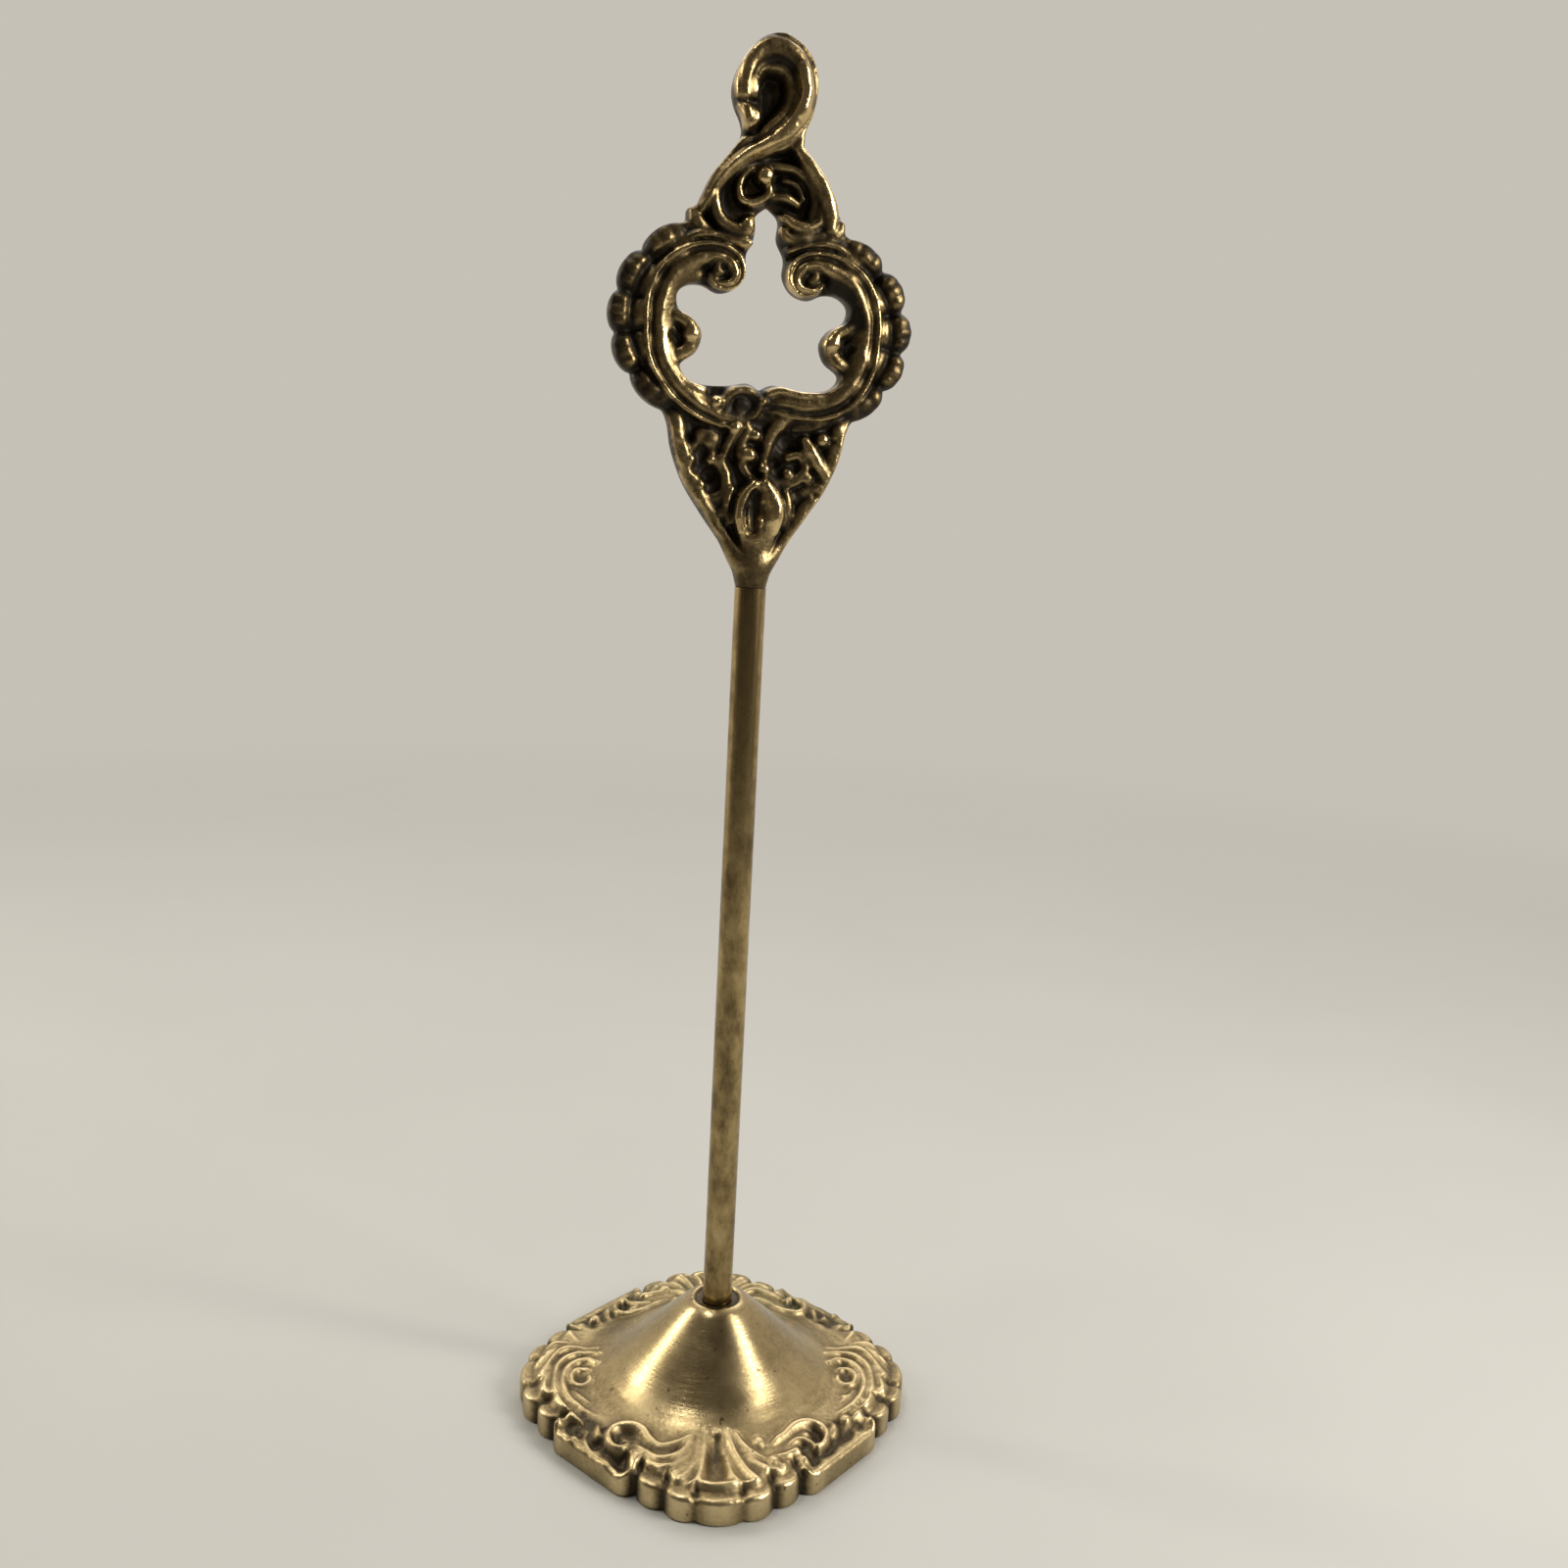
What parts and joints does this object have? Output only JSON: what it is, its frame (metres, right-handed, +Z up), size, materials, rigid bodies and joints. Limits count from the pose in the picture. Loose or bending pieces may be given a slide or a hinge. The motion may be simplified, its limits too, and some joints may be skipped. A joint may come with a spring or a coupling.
{
  "type": "table number holder",
  "caption": "Antiqued brass table card stand: scalloped cast foot, slim rod, pierced scroll head and a sprung card clip behind it.",
  "frame": {"origin": "middle of the foot, on the surface that it stands on", "axes": "+Z up along the rod; -Y is the front, with one corner of the foot to the front; the head faces 9 degrees from -Y towards +X"},
  "size_m": [0.0856, 0.0856, 0.282],
  "materials": {
    "cast_brass_foot": "worn antiqued cast brass, brushed on the cone",
    "cast_brass_head": "dark antiqued cast brass, bright on the high points",
    "brass_rod": "drawn brass with mottled patina",
    "spring_brass": "rolled strip, satin, darkened",
    "rivet_brass": "domed, rubbed bright",
    "steel_fasteners": "zinc plated, dulled"
  },
  "bodies": {
    "root": {"base_casting": "cast_brass_foot", "stem_rod": "brass_rod", "base_washer": "steel_fasteners", "spring_washer": "steel_fasteners", "base_nut": "steel_fasteners", "head_casting": "cast_brass_head", "clip_foot": "spring_brass", "clip_rivets": "rivet_brass"},
    "clip": {"clip_leaf": "spring_brass"}
  },
  "joints": [
    {"name": "clip_hinge", "type": "hinge", "parent": "root", "child": "clip", "pos_m": [-0.00049, 0.00306, 0.2042], "axis": [-0.9877, -0.1564, 0], "range_deg": [0, 12], "stiffness_Nm_per_rad": 0.12}
  ]
}
